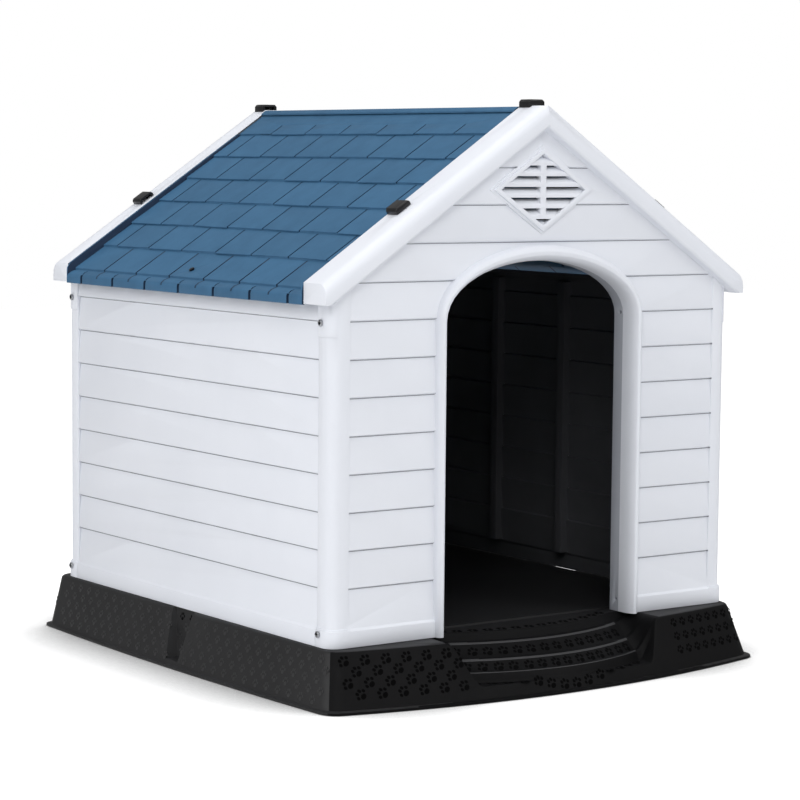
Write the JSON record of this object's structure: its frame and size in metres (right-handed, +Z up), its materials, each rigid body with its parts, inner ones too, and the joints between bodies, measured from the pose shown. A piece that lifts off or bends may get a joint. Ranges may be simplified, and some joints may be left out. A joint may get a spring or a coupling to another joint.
{
  "type": "dog house",
  "caption": "Moulded plastic dog house with lapped siding, arched doorway, louvred gable vent, shingled gable roof and a ribbed-ramp base tray.",
  "frame": {"origin": "centre of the footprint, on the ground", "axes": "+Z up, the doorway faces -Y, +X to the right seen from the front"},
  "size_m": [0.706, 0.772, 0.733],
  "materials": {
    "panel_white": "satin moulded polypropylene with a faint grain",
    "roof_blue": "matte moulded shingle texture",
    "base_black": "fine matte grain with small gloss paw prints",
    "clip_black": "semi-gloss moulded",
    "screw_steel": "zinc-plated pan head"
  },
  "bodies": {
    "house": {"base_tray": "base_black", "front_panel": "panel_white", "rear_panel": "panel_white", "side_panel_left": "panel_white", "side_panel_right": "panel_white", "corner_screw_front_left_upper": "screw_steel", "corner_screw_front_left_lower": "screw_steel", "corner_screw_front_right_upper": "screw_steel", "corner_screw_front_right_lower": "screw_steel", "corner_screw_rear_left_upper": "screw_steel", "corner_screw_rear_left_lower": "screw_steel", "corner_screw_rear_right_upper": "screw_steel", "corner_screw_rear_right_lower": "screw_steel"},
    "roof_left": {"roof_panel_left": "roof_blue", "roof_screw_left": "screw_steel"},
    "roof_right": {"roof_panel_right": "roof_blue", "roof_screw_right": "screw_steel"},
    "clip_front_left": {"roof_clip_front_left": "clip_black"},
    "clip_front_peak": {"roof_clip_front_peak": "clip_black"},
    "clip_front_right": {"roof_clip_front_right": "clip_black"},
    "clip_rear_left": {"roof_clip_rear_left": "clip_black"},
    "clip_rear_peak": {"roof_clip_rear_peak": "clip_black"},
    "clip_rear_right": {"roof_clip_rear_right": "clip_black"}
  },
  "joints": [
    {"name": "roof_left_lift", "type": "slide", "parent": "house", "child": "roof_left", "axis": [0, 0, 1], "range_m": [0, 0.15]},
    {"name": "roof_right_lift", "type": "slide", "parent": "roof_left", "child": "roof_right", "axis": [0, 0, 1], "range_m": [0, 0.15]},
    {"name": "clip_front_left_pull", "type": "slide", "parent": "house", "child": "clip_front_left", "axis": [-0.5519, 0, 0.8339], "range_m": [0, 0.04]},
    {"name": "clip_front_peak_pull", "type": "slide", "parent": "house", "child": "clip_front_peak", "axis": [0, 0, 1], "range_m": [0, 0.04]},
    {"name": "clip_front_right_pull", "type": "slide", "parent": "house", "child": "clip_front_right", "axis": [0.5519, 0, 0.8339], "range_m": [0, 0.04]},
    {"name": "clip_rear_left_pull", "type": "slide", "parent": "house", "child": "clip_rear_left", "axis": [-0.5519, 0, 0.8339], "range_m": [0, 0.04]},
    {"name": "clip_rear_peak_pull", "type": "slide", "parent": "house", "child": "clip_rear_peak", "axis": [0, 0, 1], "range_m": [0, 0.04]},
    {"name": "clip_rear_right_pull", "type": "slide", "parent": "house", "child": "clip_rear_right", "axis": [0.5519, 0, 0.8339], "range_m": [0, 0.04]}
  ]
}
